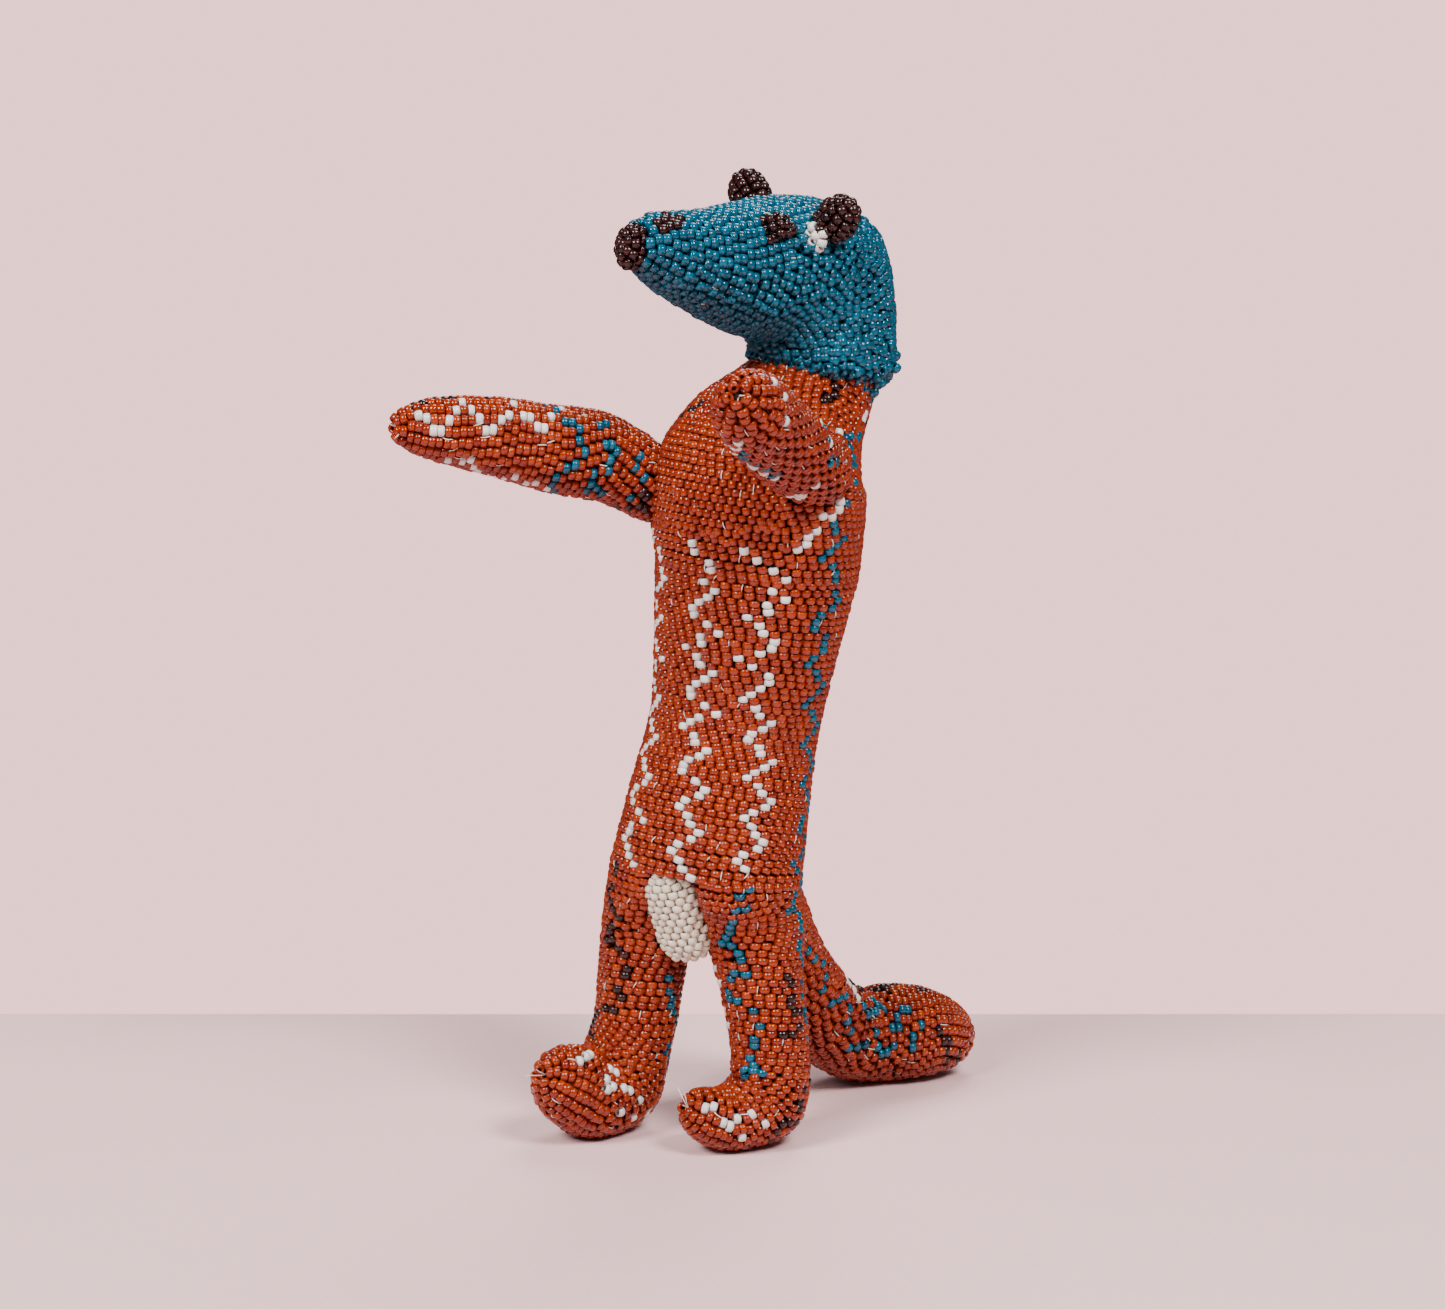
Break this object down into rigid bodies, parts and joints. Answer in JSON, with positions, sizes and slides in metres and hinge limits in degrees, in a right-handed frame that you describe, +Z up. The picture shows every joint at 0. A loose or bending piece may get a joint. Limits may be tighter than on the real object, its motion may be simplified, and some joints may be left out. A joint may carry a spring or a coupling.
{
  "type": "beaded animal figure",
  "caption": "Standing long-bodied animal figure in stitched glass seed beads: stuffed torso, hooded head, raised arms, curled tail, all on a bent-wire armature.",
  "frame": {"origin": "centre of the figure's footprint box, on the surface it stands on", "axes": "+Z up, -Y the way the chest faces, +X the figure's left"},
  "size_m": [0.0868, 0.1074, 0.1867],
  "materials": {
    "orange_beads": "glossy opaque orange-red seed beads",
    "teal_beads": "glossy opaque teal seed beads",
    "brown_beads": "glossy opaque dark brown seed beads",
    "white_beads": "pearly white seed beads",
    "cotton_wadding": "matt cotton cloth over wadding",
    "armature_wire": "dull soft steel wire"
  },
  "bodies": {
    "torso": {"belly_skin": "orange_beads", "shoulder_skin": "orange_beads", "torso_stuffing": "cotton_wadding", "groin_patch": "white_beads", "spine_wire": "armature_wire", "shoulder_wire": "armature_wire", "left_leg_skin": "orange_beads", "left_leg_stuffing": "cotton_wadding", "left_leg_wire": "armature_wire", "right_leg_skin": "orange_beads", "right_leg_stuffing": "cotton_wadding", "right_leg_wire": "armature_wire"},
    "head": {"head_hood": "teal_beads", "head_stuffing": "cotton_wadding", "head_wire": "armature_wire", "nose_beads": "brown_beads", "left_eye": "brown_beads", "right_eye": "brown_beads", "left_ear": "brown_beads", "left_ear_lining": "white_beads", "right_ear": "brown_beads", "right_ear_lining": "white_beads"},
    "left_arm": {"left_arm_skin": "orange_beads", "left_arm_stuffing": "cotton_wadding", "left_arm_wire": "armature_wire"},
    "right_arm": {"right_arm_skin": "orange_beads", "right_arm_stuffing": "cotton_wadding", "right_arm_wire": "armature_wire"},
    "tail": {"tail_skin": "orange_beads", "tail_stuffing": "cotton_wadding", "tail_wire": "armature_wire"}
  },
  "joints": [
    {"name": "neck_turn", "type": "hinge", "parent": "torso", "child": "head", "pos_m": [0.02198, 0.0155, 0.1494], "axis": [0.0601, 0.3005, 0.9519], "range_deg": [-10, 10]},
    {"name": "left_shoulder_swing", "type": "hinge", "parent": "torso", "child": "left_arm", "pos_m": [0.02998, -0.0053, 0.1316], "axis": [0.9927, 0.121, 0], "range_deg": [-10, 10]},
    {"name": "right_shoulder_swing", "type": "hinge", "parent": "torso", "child": "right_arm", "pos_m": [-0.00562, -0.0021, 0.1266], "axis": [0.7071, -0.7071, 0], "range_deg": [-10, 10]},
    {"name": "tail_swing", "type": "hinge", "parent": "torso", "child": "tail", "pos_m": [0.01188, 0.0109, 0.0415], "axis": [0, 0, 1], "range_deg": [-8, 8]}
  ]
}
